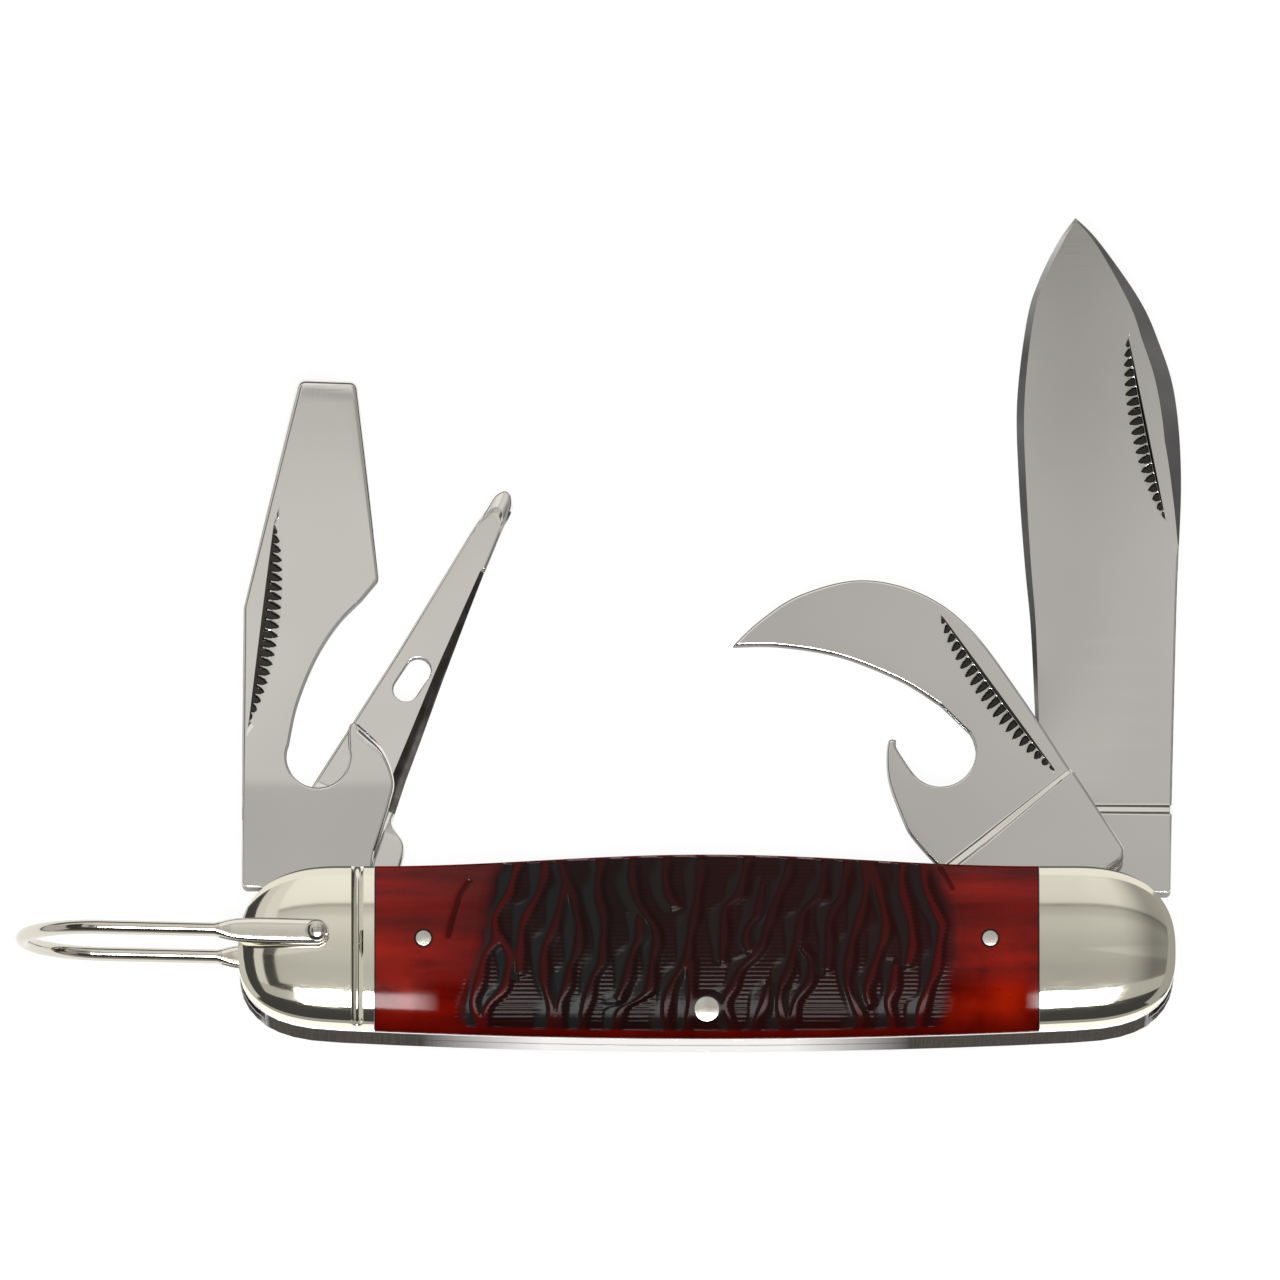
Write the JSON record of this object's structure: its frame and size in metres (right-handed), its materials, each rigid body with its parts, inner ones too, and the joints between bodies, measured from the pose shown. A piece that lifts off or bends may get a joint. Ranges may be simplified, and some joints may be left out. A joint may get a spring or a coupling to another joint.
{
  "type": "pocket knife",
  "caption": "Slip-joint camp pocket knife with crowned bone scales, metal bolsters, a wire bail and fold-out spear blade, can opener, cap lifter and punch.",
  "frame": {"origin": "midway between the two blade pivots, on the flat outer face of the rear scale", "axes": "+X along the handle, away from the bail; +Y towards the side that the blades open from; +Z through the thickness, from the rear scale to the front scale"},
  "size_m": [0.1149, 0.0834, 0.0183],
  "materials": {
    "bone": "polished red jigged bone with dark grooves",
    "nickel_silver": "mirror-polished nickel silver",
    "blade_steel": "satin-polished stainless steel",
    "spring_steel": "ground spring steel"
  },
  "bodies": {
    "handle": {"front_scale": "bone", "rear_scale": "bone", "front_bolster_left": "nickel_silver", "front_bolster_right": "nickel_silver", "rear_bolster_left": "nickel_silver", "rear_bolster_right": "nickel_silver", "front_liner": "nickel_silver", "centre_liner": "nickel_silver", "rear_liner": "nickel_silver", "front_spring": "spring_steel", "rear_spring": "spring_steel", "pivot_pin": "blade_steel", "bail_pin": "nickel_silver", "spring_rivet": "nickel_silver", "front_scale_pin_left": "nickel_silver", "front_scale_pin_right": "nickel_silver", "rear_scale_pin_left": "nickel_silver", "rear_scale_pin_right": "nickel_silver"},
    "main_blade": {"main_blade": "blade_steel"},
    "can_opener": {"can_opener": "blade_steel"},
    "cap_lifter": {"cap_lifter": "blade_steel"},
    "punch": {"punch": "blade_steel"},
    "bail": {"bail": "nickel_silver"}
  },
  "joints": [
    {"name": "main_blade_pivot", "type": "hinge", "parent": "handle", "child": "main_blade", "pos_m": [0.0383, 0, 0], "axis": [0, 0, 1], "range_deg": [-90, 85]},
    {"name": "can_opener_pivot", "type": "hinge", "parent": "handle", "child": "can_opener", "pos_m": [0.0383, 0, 0], "axis": [0, 0, 1], "range_deg": [-124, 46]},
    {"name": "cap_lifter_pivot", "type": "hinge", "parent": "handle", "child": "cap_lifter", "pos_m": [-0.0383, 0, 0], "axis": [0, 0, 1], "range_deg": [-85, 70]},
    {"name": "punch_pivot", "type": "hinge", "parent": "handle", "child": "punch", "pos_m": [-0.0383, 0, 0], "axis": [0, 0, 1], "range_deg": [-56, 98]},
    {"name": "bail_pivot", "type": "hinge", "parent": "handle", "child": "bail", "pos_m": [-0.0383, 0, 0], "axis": [0, 0, 1], "range_deg": [0, 150]}
  ]
}
